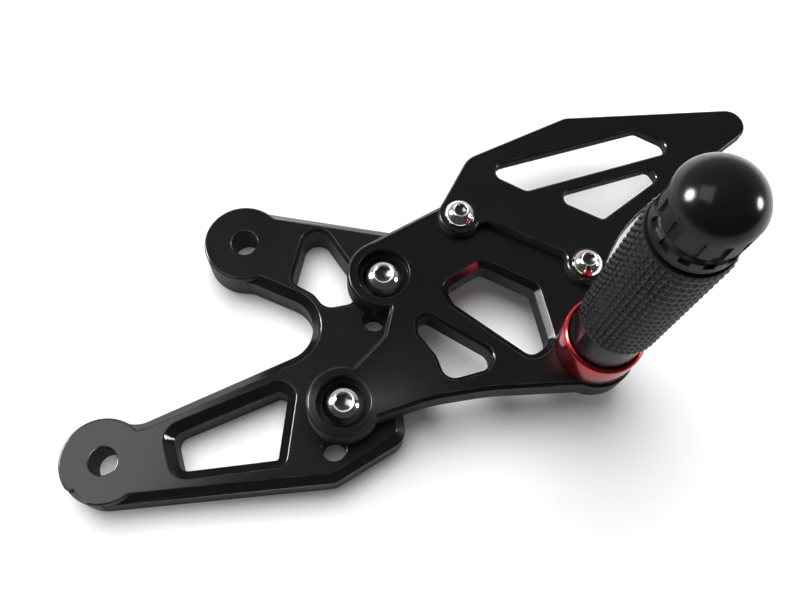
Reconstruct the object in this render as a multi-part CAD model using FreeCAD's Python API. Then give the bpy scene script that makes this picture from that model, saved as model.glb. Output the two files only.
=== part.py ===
import FreeCAD, Part
import math
import os

os.makedirs("parts", exist_ok=True)

# Left-hand rearset footpeg. Millimetres, +Z outboard along the peg, +Y from the lower
# to the upper frame bolt, +X towards the peg. Z = 0 is the bracket's back face and the
# origin lies midway between the two frame bolts.

# Driving dimensions: stack of plates
bracket_thick = 14.0
hanger_thick = 10.0
guard_thick = 4.0
bracket_top = bracket_thick
hanger_top = bracket_top + hanger_thick
guard_top = hanger_top + guard_thick

# Driving dimensions: frame bracket
frame_bolt_pitch = 87.0
frame_boss_r = 14.0
frame_hole_r = 4.5
frame_hole_break = 0.3
boss_edge_break = 0.5
arm_bevel = 3.0
# How far each arm's edge passes from its boss centre, as a share of the boss radius.
upper_arm_top_share = 0.982
upper_arm_low_share = 0.851
lower_arm_top_share = 0.492
lower_window_bevel = 3.2
upper_window_bevel = 1.2

# Driving dimensions: hanger
lower_screw = (59.6, 7.3)
upper_screw = (50.3, 52.7)
lower_boss_r = 12.0
upper_boss_r = 12.4
second_position = (3.6, -13.1)
counterbore_r = 8.9
hanger_bevel = 1.3
hanger_window_bevel = 2.2
peg_x = 124.2
peg_y = 62.6
peg_axis = (peg_x, peg_y)
peg_boss_r = 14.0

# Driving dimensions: heel guard
front_tab = (63.9, 83.3)
rear_tab = (110.0, 87.5)
front_tab_r = 7.3
rear_tab_r = 6.8
guard_edge_break = 0.5

# Driving dimensions: fasteners
m8_r = 4.0
m8_head_r = 7.0
m8_head_h = 4.4
m8_hex = 5.0
m6_r = 3.0
m6_head_r = 5.25
m6_head_h = 3.3
m6_hex = 4.0
m10_r = 5.0
m10_head_r = 8.0
m10_head_h = 10.0
m10_hex = 8.0
washer_r = 10.0
washer_thick = 1.6

# Driving dimensions: peg
neck_r = 11.4
cup_clear = 0.4
collar_cup_r = neck_r + cup_clear
collar_wall = 1.4
collar_r = collar_cup_r + collar_wall
collar_h = 13.6
collar_cup_depth = 4.0
collar_edge_break = 0.9
collar_top = hanger_top + collar_h
neck_show = 15.4
neck_flat = 9.9
neck_flat_turn = 200.0
knurl_start = collar_top + neck_show
knurl_length = 58.5
knurl_end = knurl_start + knurl_length
knurl_step = 0.35
knurl_root_r = neck_r + knurl_step
knurl_depth = 0.75
knurl_tip_r = knurl_root_r + knurl_depth
knurl_rows = 18
knurl_columns = 40
cap_gap = 0.9
barrel_end = knurl_end + cap_gap
barrel_end_r = 10.0
cap_r = 11.3
cap_skirt_h = 16.2
cap_skirt_top = barrel_end + cap_skirt_h
cap_dome_h = 8.1
cap_notches = 12
cap_notch_w = 2.8
cap_notch_deep = 1.0

# Clearances
screw_clear = 0.35
thread_clear = 0.05


def by(place, dx, dy, corner_r=0):
    # Outline point given from a hole or boss that it belongs to.
    return (place[0] + dx, place[1] + dy, corner_r)


def boss_corners(centre, boss_r, first, last):
    # Two outline corners whose arcs lie on a round boss from direction first to last.
    step = (last - first) / 2
    reach = boss_r / math.cos(step / 2)
    corners = []
    for turn in (first + step / 2, last - step / 2):
        corners.append((centre[0] + reach * math.cos(turn), centre[1] + reach * math.sin(turn), boss_r))
    return corners


def boss_blend(centre, boss_r, share, far, blend_r, side):
    # Concave arc from a round boss into the straight edge that runs on to the point far and passes
    # the boss centre at a share of its radius, with its open side left (1) or right (-1).
    # Gives the direction where the boss ends and the outline corner of the arc.
    edge_off = share * boss_r
    away = math.atan2(far[1] - centre[1], far[0] - centre[0])
    square = away + side * math.acos(edge_off / math.hypot(far[0] - centre[0], far[1] - centre[1]))
    out = (math.cos(square), math.sin(square))
    along = (side * out[1], -side * out[0])
    near = (centre[0] + edge_off * out[0], centre[1] + edge_off * out[1])
    off = edge_off + blend_r
    run = math.sqrt((boss_r + blend_r) ** 2 - off ** 2)
    turn = math.atan2(out[1] * off + along[1] * run, out[0] * off + along[0] * run)
    face = (math.cos(turn), math.sin(turn))
    gap = boss_r - (near[0] - centre[0]) * face[0] - (near[1] - centre[1]) * face[1]
    travel = gap / (along[0] * face[0] + along[1] * face[1])
    return turn, (near[0] + along[0] * travel, near[1] + along[1] * travel, blend_r)


def tangent_turn(centre, boss_r, point):
    # Direction from a boss to where the edge that runs to the point on its right leaves it.
    away = math.atan2(point[1] - centre[1], point[0] - centre[0])
    return away - math.acos(boss_r / math.hypot(point[0] - centre[0], point[1] - centre[1]))


def grown(points, size):
    # The same corners with every edge moved outwards by size; outer corner arcs grow with it.
    count = len(points)
    area = 0
    for i in range(count):
        area += points[i - 1][0] * points[i][1] - points[i][0] * points[i - 1][1]
    way = 1 if area > 0 else -1
    moved = []
    for i in range(count):
        ax = points[i][0] - points[i - 1][0]
        ay = points[i][1] - points[i - 1][1]
        bx = points[(i + 1) % count][0] - points[i][0]
        by = points[(i + 1) % count][1] - points[i][1]
        long_a = math.hypot(ax, ay)
        long_b = math.hypot(bx, by)
        cross = (ax * by - ay * bx) / (long_a * long_b)
        shift = way * size / cross
        x = points[i][0] - shift * (bx / long_b - ax / long_a)
        y = points[i][1] - shift * (by / long_b - ay / long_a)
        outer = cross * way > 0
        moved.append((x, y, points[i][2] + size if outer else max(points[i][2] - size, 0.2)))
    return moved


def outline(points):
    # Closed face through (x, y, corner radius) points, every corner a tangent arc.
    count = len(points)
    corners = []
    for i in range(count):
        before = FreeCAD.Vector(points[i - 1][0], points[i - 1][1], 0)
        here = FreeCAD.Vector(points[i][0], points[i][1], 0)
        after = FreeCAD.Vector(points[(i + 1) % count][0], points[(i + 1) % count][1], 0)
        radius = points[i][2]
        if radius == 0:
            corners.append((here, here, None))
            continue
        back = (before - here).normalize()
        on = (after - here).normalize()
        half = back.getAngle(on) / 2
        reach = radius / math.tan(half)
        middle = (back + on).normalize()
        centre = here + middle * (radius / math.sin(half))
        corners.append((here + back * reach, here + on * reach, centre - middle * radius))
    edges = []
    for i in range(count):
        start, end, crown = corners[i]
        if crown is not None:
            edges.append(Part.Arc(start, crown, end).toShape())
        following = corners[(i + 1) % count][0]
        if (following - end).Length > 1e-6:
            edges.append(Part.makeLine(end, following))
    return Part.Face(Part.Wire(edges))


def plate(face, low, high):
    solid = face.extrude(FreeCAD.Vector(0, 0, high - low))
    solid.translate(FreeCAD.Vector(0, 0, low))
    return solid


def post(x, y, r, low, high):
    return Part.makeCylinder(r, high - low, FreeCAD.Vector(x, y, low))


def broken_post(x, y, r, low, high, edge_break):
    solid = post(x, y, r, low, high)
    rim = [e for e in solid.Edges if abs(e.BoundBox.ZMin - high) < 1e-6]
    return solid.makeChamfer(edge_break, rim)


def countersink(x, y, r, top, size):
    return Part.makeCone(r, r + size, size, FreeCAD.Vector(x, y, top - size))


def top_edges(solid, top):
    return [e for e in solid.Edges if abs(e.BoundBox.ZMin - top) < 1e-6 and abs(e.BoundBox.ZMax - top) < 1e-6]


def bevelled_plate(face, low, high, bevel):
    solid = plate(face, low, high)
    return solid.makeChamfer(bevel, top_edges(solid, high))


def window_tool(points, low, high, bevel):
    # Through opening whose top edge is bevelled: the opening widens over its last stretch.
    face = outline(points)
    lower = face.OuterWire.copy()
    lower.translate(FreeCAD.Vector(0, 0, high - bevel))
    upper = outline(grown(points, bevel)).OuterWire
    upper.translate(FreeCAD.Vector(0, 0, high))
    flare = Part.makeLoft([lower, upper], True, True)
    through = plate(face, low - 1, high)
    return through.fuse(flare)


def hex_prism(x, y, across, low, high):
    reach = across / 2 / math.cos(math.pi / 6)
    corners = []
    for i in range(6):
        turn = math.radians(60 * i)
        corners.append(FreeCAD.Vector(x + reach * math.cos(turn), y + reach * math.sin(turn), low))
    corners.append(corners[0])
    face = Part.Face(Part.makePolygon(corners))
    return face.extrude(FreeCAD.Vector(0, 0, high - low))


def turned(profile, x, y):
    # Body of revolution about the vertical through (x, y) from (radius, height) points.
    points = [FreeCAD.Vector(r, 0, z) for r, z in profile]
    points.append(points[0])
    solid = Part.Face(Part.makePolygon(points)).revolve(
        FreeCAD.Vector(0, 0, 0), FreeCAD.Vector(0, 0, 1), 360)
    solid.translate(FreeCAD.Vector(x, y, 0))
    return solid


def button_screw(place, seat, head_r, head_h, shank_r, tip, across):
    # Domed socket head: a rim, a spherical crown with a small flat, a hexagon socket.
    x, y = place
    rim = head_h * 0.18
    flat_r = head_r * 0.5
    sink = (head_h * head_h - rim * rim - head_r * head_r + flat_r * flat_r) / (2 * (head_h - rim))
    ball_r = math.hypot(head_r, rim - sink)
    mid_turn = (math.atan2(rim - sink, head_r) + math.atan2(head_h - sink, flat_r)) / 2
    mid_r = ball_r * math.cos(mid_turn)
    mid_z = sink + ball_r * math.sin(mid_turn)
    side = [FreeCAD.Vector(0, 0, tip), FreeCAD.Vector(shank_r - 0.6, 0, tip),
            FreeCAD.Vector(shank_r, 0, tip + 0.6), FreeCAD.Vector(shank_r, 0, seat),
            FreeCAD.Vector(head_r, 0, seat), FreeCAD.Vector(head_r, 0, seat + rim)]
    edges = [Part.makeLine(side[i], side[i + 1]) for i in range(len(side) - 1)]
    crown_end = FreeCAD.Vector(flat_r, 0, seat + head_h)
    crown = Part.Arc(side[-1], FreeCAD.Vector(mid_r, 0, seat + mid_z), crown_end)
    edges.append(crown.toShape())
    top = FreeCAD.Vector(0, 0, seat + head_h)
    edges.append(Part.makeLine(crown_end, top))
    edges.append(Part.makeLine(top, side[0]))
    solid = Part.Face(Part.Wire(edges)).revolve(FreeCAD.Vector(0, 0, 0), FreeCAD.Vector(0, 0, 1), 360)
    solid.translate(FreeCAD.Vector(x, y, 0))
    return solid.cut(hex_prism(x, y, across, seat + head_h * 0.38, seat + head_h + 1))


def keep(name, shape):
    shape.exportStep("parts/" + name + ".step")


# Frame bracket: two arms and a foot milled from one plate, bevelled all round. The arms flow
# into two full-height round bosses, where the bevel runs out; boss edges are only broken.
half_pitch = frame_bolt_pitch / 2
lower_boss = (0, -half_pitch)
upper_boss = (0, half_pitch)
foot_corner = by(lower_screw, 9.1, -22.3, 6)
arm_corner = by(upper_screw, 1.7, 23.2, 10)
fork_corner = by(upper_screw, 0.2, -17.5, 11.3)
full_turn = 2 * math.pi
upper_start, upper_in = boss_blend(upper_boss, frame_boss_r, upper_arm_top_share, arm_corner, 14.0, 1)
upper_end, upper_out = boss_blend(upper_boss, frame_boss_r, upper_arm_low_share, fork_corner, 10.0, -1)
lower_start, lower_in = boss_blend(lower_boss, frame_boss_r, lower_arm_top_share, fork_corner, 9.5, 1)
lower_end = tangent_turn(lower_boss, frame_boss_r, foot_corner)
bracket_outline = boss_corners(lower_boss, frame_boss_r, lower_start, lower_end + full_turn)
bracket_outline += [
    foot_corner, by(lower_screw, 22.8, 0.9, 6), by(lower_screw, 5.7, 27.9, 14), by(upper_screw, 12.2, 7.3, 8),
    arm_corner, upper_in]
bracket_outline += boss_corners(upper_boss, frame_boss_r, upper_start, upper_end + full_turn)
bracket_outline += [upper_out, fork_corner, lower_in]
bracket = bevelled_plate(outline(bracket_outline), 0, bracket_top, arm_bevel)
for side_y in (-half_pitch, half_pitch):
    bracket = bracket.fuse(broken_post(0, side_y, frame_boss_r, 0, bracket_top, boss_edge_break))
lower_window = [
    by(lower_boss, 14.4, 17.5, 3.5), by(lower_screw, -22.0, -3.9, 2.6), by(lower_screw, -18.7, -4.7, 1.6),
    by(lower_screw, -11.0, -24.3, 1.0), by(lower_boss, 23.0, 8.7, 3.0)]
upper_window = [
    by(upper_boss, 14.8, 21.7, 5.0), by(upper_screw, -9.3, -1.5, 3.0), by(upper_screw, -5.7, -10.7, 3.0),
    by(upper_screw, -13.5, -17.1, 5.0), by(upper_screw, -19.3, -14.3, 7.0), by(upper_boss, 22.0, -4.9, 3.0)]
bracket = bracket.cut(window_tool(lower_window, 0, bracket_top, lower_window_bevel))
bracket = bracket.cut(window_tool(upper_window, 0, bracket_top, upper_window_bevel))
for side_y in (-half_pitch, half_pitch):
    bracket = bracket.cut(post(0, side_y, frame_hole_r, -1, bracket_top + 1))
    bracket = bracket.cut(countersink(0, side_y, frame_hole_r, bracket_top, frame_hole_break))
for place in (lower_screw, upper_screw):
    for step in (0, 1):
        hole_x = place[0] + step * second_position[0]
        hole_y = place[1] + step * second_position[1]
        bracket = bracket.cut(post(hole_x, hole_y, m8_r + thread_clear, -1, bracket_top + 1))
# A knock on the lower boss took a small chip off its outer edge.
chip_turn = math.radians(251)
chip_reach = frame_boss_r + 2.0
chip_place = FreeCAD.Vector(
    chip_reach * math.cos(chip_turn), chip_reach * math.sin(chip_turn) - half_pitch, bracket_top + 0.4)
chip = Part.makeSphere(2.6, chip_place)
bracket = bracket.cut(chip)
bracket = bracket.removeSplitter()

# Peg hanger: plate on the bracket, a round boss at each screw and at the peg, two windows.
hanger_outline = [
    by(lower_screw, 6.4, -5.9), (84.5, 21.4, 60), (100.2, 33.3, 80), by(peg_axis, 2.8, -13.2),
    by(peg_axis, -7.0, 11.0), by(rear_tab, 7.2, -1.0), by(rear_tab, 1.0, 6.5), by(front_tab, 0, 7.1),
    by(front_tab, -8.1, 1.5), by(upper_screw, -10.1, 7.5), by(upper_screw, -2.3, -6.7), (57.6, 43.4, 3.5),
    (60.4, 33.4, 3), by(lower_screw, -3.3, 10.3)]
hanger = bevelled_plate(outline(hanger_outline), bracket_top, hanger_top, hanger_bevel)
hanger_bosses = [
    (lower_screw, lower_boss_r), (upper_screw, upper_boss_r), (peg_axis, peg_boss_r),
    (front_tab, front_tab_r), (rear_tab, rear_tab_r)]
for place, boss_r in hanger_bosses:
    boss = broken_post(place[0], place[1], boss_r, bracket_top, hanger_top, boss_edge_break * 1.6)
    hanger = hanger.fuse(boss)
big_window = [
    (71.2, 58.4, 3.0), (78.8, 71.6, 3.0), (97.8, 72.2, 2.5), (110.6, 57.2, 4.0),
    (107.4, 50.2, 4.0), (76.0, 54.8, 3.0)]
small_window = [
    (66.2, 46.6, 3.0), (96.4, 45.0, 4.0), (95.6, 38.6, 3.0), (85.8, 29.2, 4.5),
    (79.0, 35.4, 7.0), (70.2, 39.4, 2.5)]
hanger = hanger.cut(window_tool(big_window, bracket_top, hanger_top, hanger_window_bevel))
hanger = hanger.cut(window_tool(small_window, bracket_top, hanger_top, hanger_window_bevel * 0.5))
head_seat = hanger_top - m8_head_h
for place in (lower_screw, upper_screw):
    hanger = hanger.cut(post(place[0], place[1], m8_r + screw_clear, bracket_top - 1, hanger_top))
    hanger = hanger.cut(post(place[0], place[1], counterbore_r, head_seat, hanger_top + 1))
for place in (front_tab, rear_tab):
    hanger = hanger.cut(post(place[0], place[1], m6_r + thread_clear, bracket_top - 1, hanger_top + 1))
hanger = hanger.cut(post(peg_x, peg_y, m10_r + screw_clear, bracket_top - 1, hanger_top + 1))
hanger = hanger.removeSplitter()

# Heel guard: flat plate on the hanger, two tabs under its screws, two slanted slots.
scoop_low = by(rear_tab, 6.0, 7.5)
scoop_mid = by(rear_tab, 7.1, 18.5)
scoop_high = by(rear_tab, 10.3, 29.5)
edge_low = FreeCAD.Vector(*scoop_low)
edge_mid = FreeCAD.Vector(*scoop_mid)
edge_high = FreeCAD.Vector(*scoop_high)
guard_blank = outline([
    by(front_tab, -7.2, 0), by(front_tab, -1.9, -4.3), by(front_tab, 3.1, -3.3), by(front_tab, 9.7, 2.1, 3),
    by(rear_tab, -8.2, -0.4, 2), by(rear_tab, -4.0, -3.5), by(rear_tab, 6.0, 0), scoop_low, scoop_high,
    by(rear_tab, 38.9, 92.4, 6.2), by(rear_tab, -29.4, 49.4, 6.0), by(front_tab, -7.2, 21.3, 9.0)])
side_scoop = Part.Face(Part.Wire([
    Part.Arc(edge_low, edge_mid, edge_high).toShape(), Part.makeLine(edge_high, edge_low)]))
upper_slot = [
    by(front_tab, -1.0, 19.5, 3.2), by(front_tab, 16.7, 19.5, 3.0),
    by(rear_tab, 12.6, 57.5, 3.2), by(rear_tab, -4.4, 57.5, 3.0)]
lower_slot = [
    by(rear_tab, -21.6, 17.3, 3.0), by(rear_tab, -1.2, 18.1, 2.0),
    by(rear_tab, 10.0, 42.1, 2.0), by(rear_tab, 5.6, 44.7, 2.0)]
guard = plate(guard_blank, hanger_top, guard_top)
guard = guard.cut(plate(side_scoop, hanger_top - 1, guard_top + 1))
guard = guard.fuse(post(front_tab[0], front_tab[1], front_tab_r, hanger_top, guard_top))
guard = guard.fuse(post(rear_tab[0], rear_tab[1], rear_tab_r, hanger_top, guard_top))
guard = guard.removeSplitter()
guard = guard.makeChamfer(guard_edge_break, top_edges(guard, guard_top))
guard = guard.cut(window_tool(upper_slot, hanger_top, guard_top, guard_edge_break))
guard = guard.cut(window_tool(lower_slot, hanger_top, guard_top, guard_edge_break))
for place in (front_tab, rear_tab):
    guard = guard.cut(post(place[0], place[1], m6_r + screw_clear, hanger_top - 1, guard_top + 1))

# Screws
keep("hanger_screw_lower", button_screw(lower_screw, head_seat, m8_head_r, m8_head_h, m8_r, 1.5, m8_hex))
keep("hanger_screw_upper", button_screw(upper_screw, head_seat, m8_head_r, m8_head_h, m8_r, 1.5, m8_hex))
guard_screw_tip = bracket_top + 1.0
for name, tab in (("guard_screw_front", front_tab), ("guard_screw_rear", rear_tab)):
    keep(name, button_screw(tab, guard_top, m6_head_r, m6_head_h, m6_r, guard_screw_tip, m6_hex))

# Peg collar: turned ring with a shallow cup that centres the foot of the peg.
cup_floor = collar_top - collar_cup_depth
bolt_hole_r = m10_r + screw_clear
collar = turned([
    (bolt_hole_r, hanger_top), (collar_r - 0.4, hanger_top), (collar_r, hanger_top + 0.4),
    (collar_r, collar_top - collar_edge_break), (collar_r - collar_edge_break, collar_top),
    (collar_cup_r, collar_top), (collar_cup_r, cup_floor), (bolt_hole_r, cup_floor)], peg_x, peg_y)

# Peg barrel: neck with two wrench flats, knurled grip of small pyramids, plain end.
bolt_tip = knurl_start + 9.0
stud_low = barrel_end - 12.4
stud_high = barrel_end + 8.6
neck = turned([
    (m10_r + thread_clear, cup_floor), (neck_r - 0.5, cup_floor), (neck_r, cup_floor + 0.5),
    (neck_r, knurl_start + 1), (m10_r + thread_clear, knurl_start + 1)], peg_x, peg_y)
for turn in (neck_flat_turn, neck_flat_turn + 180):
    flat_high = neck_show - 2
    block = Part.makeBox(neck_r, 2 * neck_r, flat_high, FreeCAD.Vector(neck_flat, -neck_r, collar_top + 0.5))
    block.rotate(FreeCAD.Vector(0, 0, 0), FreeCAD.Vector(0, 0, 1), turn)
    block.translate(FreeCAD.Vector(peg_x, peg_y, 0))
    neck = neck.cut(block)


def knurl_point(column, row, radius):
    turn = 2 * math.pi * column / knurl_columns
    height = knurl_start + (knurl_end - knurl_start) * row / knurl_rows
    return FreeCAD.Vector(peg_x + radius * math.cos(turn), peg_y + radius * math.sin(turn), height)


def triangle(a, b, c):
    return Part.Face(Part.makePolygon([a, b, c, a]))


knurl_faces = []
for column in range(knurl_columns):
    for row in range(knurl_rows):
        low_left = knurl_point(column, row, knurl_root_r)
        low_right = knurl_point(column + 1, row, knurl_root_r)
        high_left = knurl_point(column, row + 1, knurl_root_r)
        high_right = knurl_point(column + 1, row + 1, knurl_root_r)
        tip = knurl_point(column + 0.5, row + 0.5, knurl_tip_r)
        knurl_faces.append(triangle(low_left, low_right, tip))
        knurl_faces.append(triangle(low_right, high_right, tip))
        knurl_faces.append(triangle(high_right, high_left, tip))
        knurl_faces.append(triangle(high_left, low_left, tip))
for row in (0, knurl_rows):
    rim = [knurl_point(column, row, knurl_root_r) for column in range(knurl_columns)]
    rim.append(rim[0])
    knurl_faces.append(Part.Face(Part.makePolygon(rim)))
knurl_shell = Part.Shell(knurl_faces)
knurl_shell.sewShape()
barrel = Part.Solid(knurl_shell)
if barrel.Volume < 0:
    barrel.reverse()
barrel = barrel.fuse(neck)
barrel = barrel.fuse(post(peg_x, peg_y, barrel_end_r, knurl_end - 1, barrel_end))
barrel = barrel.cut(post(peg_x, peg_y, m10_r + thread_clear, cup_floor - 1, bolt_tip + 4))
barrel = barrel.cut(post(peg_x, peg_y, m6_r + thread_clear, stud_low - 3, barrel_end + 1))

# End cap: skirt with a groove and a ring of notches under a smooth dome.
groove_low = barrel_end + 5.2
groove_high = groove_low + 2.6
groove_r = cap_r - cap_notch_deep - 0.4
cap_side = [(0, barrel_end), (cap_r - 0.8, barrel_end), (cap_r, barrel_end + 0.8), (cap_r, groove_low),
            (groove_r, groove_low + 0.6), (groove_r, groove_high), (cap_r, groove_high + 0.3),
            (cap_r, cap_skirt_top)]
cap_points = [FreeCAD.Vector(r, 0, z) for r, z in cap_side]
cap_edges = [Part.makeLine(cap_points[i], cap_points[i + 1]) for i in range(len(cap_points) - 1)]
dome_top = FreeCAD.Vector(0, 0, cap_skirt_top + cap_dome_h)
ball_r = (cap_r * cap_r + cap_dome_h * cap_dome_h) / (2 * cap_dome_h)
lean = math.asin(min(cap_r / ball_r, 1)) / 2
ball_z = dome_top.z - ball_r
dome_mid = FreeCAD.Vector(ball_r * math.sin(lean), 0, ball_z + ball_r * math.cos(lean))
cap_edges.append(Part.Arc(cap_points[-1], dome_mid, dome_top).toShape())
cap_edges.append(Part.makeLine(dome_top, cap_points[0]))
cap = Part.Face(Part.Wire(cap_edges)).revolve(FreeCAD.Vector(0, 0, 0), FreeCAD.Vector(0, 0, 1), 360)
notch_low = barrel_end + 3.2
notch_high = cap_skirt_top - 1.6
for i in range(cap_notches):
    notch = Part.makeBox(4, cap_notch_w, notch_high - notch_low,
                         FreeCAD.Vector(cap_r - cap_notch_deep, -cap_notch_w / 2, notch_low))
    notch.rotate(FreeCAD.Vector(0, 0, 0), FreeCAD.Vector(0, 0, 1), 360.0 * i / cap_notches)
    cap = cap.cut(notch)
cap.translate(FreeCAD.Vector(peg_x, peg_y, 0))
cap = cap.cut(post(peg_x, peg_y, m6_r + thread_clear, barrel_end - 1, stud_high + 1))

# Hidden fasteners: bolt and washer behind the hanger, headless stud in the cap.
washer_low = bracket_top - washer_thick
washer = post(peg_x, peg_y, washer_r, washer_low, bracket_top)
washer = washer.cut(post(peg_x, peg_y, m10_r + screw_clear, washer_low - 1, bracket_top + 1))
head_low = washer_low - m10_head_h
bolt = turned([
    (0, head_low), (m10_head_r - 0.8, head_low), (m10_head_r, head_low + 0.8), (m10_head_r, washer_low),
    (m10_r, washer_low), (m10_r, bolt_tip - 0.8), (m10_r - 0.8, bolt_tip), (0, bolt_tip)], peg_x, peg_y)
bolt = bolt.cut(hex_prism(peg_x, peg_y, m10_hex, head_low - 1, head_low + 5))
stud = turned([
    (0, stud_low), (m6_r - 0.5, stud_low), (m6_r, stud_low + 0.5), (m6_r, stud_high - 0.5),
    (m6_r - 0.5, stud_high), (0, stud_high)], peg_x, peg_y)

keep("frame_bracket", bracket)
keep("peg_hanger", hanger)
keep("heel_guard", guard)
keep("peg_collar", collar)
keep("peg_barrel", barrel)
keep("end_cap", cap)
keep("peg_bolt", bolt)
keep("peg_washer", washer)
keep("cap_stud", stud)
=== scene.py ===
import math
import bmesh
import bpy
from mathutils import Matrix, Vector
from mathutils.bvhtree import BVHTree


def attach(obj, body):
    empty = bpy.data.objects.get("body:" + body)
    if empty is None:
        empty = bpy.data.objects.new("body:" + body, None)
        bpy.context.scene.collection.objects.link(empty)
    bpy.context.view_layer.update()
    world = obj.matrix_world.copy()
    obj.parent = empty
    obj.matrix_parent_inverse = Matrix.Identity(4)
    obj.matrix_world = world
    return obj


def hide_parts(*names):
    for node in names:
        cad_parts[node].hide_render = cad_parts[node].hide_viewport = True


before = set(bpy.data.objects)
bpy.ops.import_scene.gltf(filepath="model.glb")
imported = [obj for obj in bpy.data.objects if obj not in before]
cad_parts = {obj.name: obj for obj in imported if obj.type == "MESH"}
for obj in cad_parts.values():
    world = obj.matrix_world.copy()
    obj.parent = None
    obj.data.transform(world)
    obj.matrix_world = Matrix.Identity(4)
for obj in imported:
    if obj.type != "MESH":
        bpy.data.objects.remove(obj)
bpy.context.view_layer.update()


# Frame bracket: a two-armed plate milled from aluminium billet, bead blasted and anodised
# black. It bolts to the motorcycle's frame through the two round bosses, and its long edges
# carry a wide milled bevel that runs out at the bosses.
mm = 0.001


def broken_edges(node, name, edge, bite=None):
    """A copy of a solid's mesh, less the bite, with its sharp corners broken by a narrow rounded edge.

    Face attributes say which faces are a broken edge, and which are a milled side or bevel.
    """
    sharp_corner = math.radians(28)
    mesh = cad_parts[node].data.copy()
    mesh.name = name
    mesh.materials.clear()
    shape = bmesh.new()
    shape.from_mesh(mesh)
    bmesh.ops.remove_doubles(shape, verts=shape.verts, dist=0.002 * mm)
    bmesh.ops.dissolve_limit(shape, angle_limit=math.radians(0.4), verts=shape.verts, edges=shape.edges)
    shape.to_mesh(mesh)
    shape.free()
    mesh.shade_smooth()
    mesh.set_sharp_from_angle(angle=sharp_corner)
    piece = bpy.data.objects.new(name, mesh)
    bpy.context.scene.collection.objects.link(piece)
    if bite:
        knock = piece.modifiers.new("knock", "BOOLEAN")
        knock.object = bite
        knock.operation = "DIFFERENCE"
        knock.solver = "EXACT"
        depsgraph = bpy.context.evaluated_depsgraph_get()
        mesh = bpy.data.meshes.new_from_object(piece.evaluated_get(depsgraph))
        piece.modifiers.clear()
        piece.data = mesh
    surface = BVHTree.FromPolygons(
        [vert.co for vert in mesh.vertices], [face.vertices for face in mesh.polygons])
    rounding = piece.modifiers.new("broken edge", "BEVEL")
    rounding.width = edge
    rounding.segments = 2
    rounding.limit_method = "ANGLE"
    rounding.angle_limit = sharp_corner
    rounding.use_clamp_overlap = False
    rounding.harden_normals = True
    rounding.material = 1
    mesh.materials.append(None)
    mesh.materials.append(None)
    depsgraph = bpy.context.evaluated_depsgraph_get()
    rounded = bpy.data.meshes.new_from_object(piece.evaluated_get(depsgraph))
    piece.modifiers.clear()
    piece.data = rounded
    rounded.name = name
    # Where a bevel runs out, a point thrown off the solid goes back to its surface.
    for vert in rounded.vertices:
        nearest, _, _, off = surface.find_nearest(vert.co)
        if off > 0.5 * edge:
            vert.co = nearest
    worn = rounded.attributes.new("broken_edge", "FLOAT", "FACE")
    worn.data.foreach_set("value", [float(face.material_index) for face in rounded.polygons])
    milled = rounded.attributes.new("milled_side", "FLOAT", "FACE")
    sides = []
    for face in rounded.polygons:
        upright = abs(face.normal.z)
        sides.append(1.0 if upright < 0.3 else -0.1 if upright < 0.95 else 0.0)
    milled.data.foreach_set("value", sides)
    for face in rounded.polygons:
        face.material_index = 0
    rounded.materials.clear()
    # The flat faces shade flat right up to their edges.
    corners = [tuple(corner.vector) for corner in rounded.corner_normals]
    for face in rounded.polygons:
        if abs(face.normal.z) > 0.9999:
            for loop in face.loop_indices:
                corners[loop] = tuple(face.normal)
    rounded.normals_split_custom_set(corners)
    return piece


def effect(name, inputs, outputs):
    """An empty shader group with named float or vector sockets."""
    group = bpy.data.node_groups.new(name, "ShaderNodeTree")
    for label, kind, value in inputs:
        socket = group.interface.new_socket(label, in_out="INPUT", socket_type=kind)
        if kind == "NodeSocketFloat":
            socket.default_value = value
    for label, kind in outputs:
        group.interface.new_socket(label, in_out="OUTPUT", socket_type=kind)
    return group, group.nodes.new("NodeGroupInput"), group.nodes.new("NodeGroupOutput")


def math_node(tree, operation, first, second=None, clamp=False):
    """A math node in a shader or geometry tree; each operand is a number or a socket."""
    node = tree.nodes.new("ShaderNodeMath")
    node.operation = operation
    node.use_clamp = clamp
    for socket, value in zip(node.inputs, (first, second)):
        if value is None:
            continue
        if isinstance(value, (int, float)):
            socket.default_value = value
        else:
            tree.links.new(value, socket)
    return node.outputs[0]


# Bead blasting leaves a fine even tooth; anodising keeps it and varies a little in depth.
blasted, blasted_in, blasted_out = effect(
    "blasted tooth",
    [("Vector", "NodeSocketVector", None), ("Grains per mm", "NodeSocketFloat", 5.0)],
    [("Height", "NodeSocketFloat"), ("Cloud", "NodeSocketFloat")])
tooth_scale = math_node(blasted, "MULTIPLY", blasted_in.outputs["Grains per mm"], 1000.0)
tooth = blasted.nodes.new("ShaderNodeTexNoise")
tooth.inputs["Detail"].default_value = 2.0
blasted.links.new(blasted_in.outputs["Vector"], tooth.inputs["Vector"])
blasted.links.new(tooth_scale, tooth.inputs["Scale"])
cloud = blasted.nodes.new("ShaderNodeTexNoise")
cloud.inputs["Scale"].default_value = 45.0
cloud.inputs["Detail"].default_value = 4.0
blasted.links.new(blasted_in.outputs["Vector"], cloud.inputs["Vector"])
blasted.links.new(tooth.outputs["Fac"], blasted_out.inputs["Height"])
blasted.links.new(cloud.outputs["Fac"], blasted_out.inputs["Cloud"])

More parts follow.
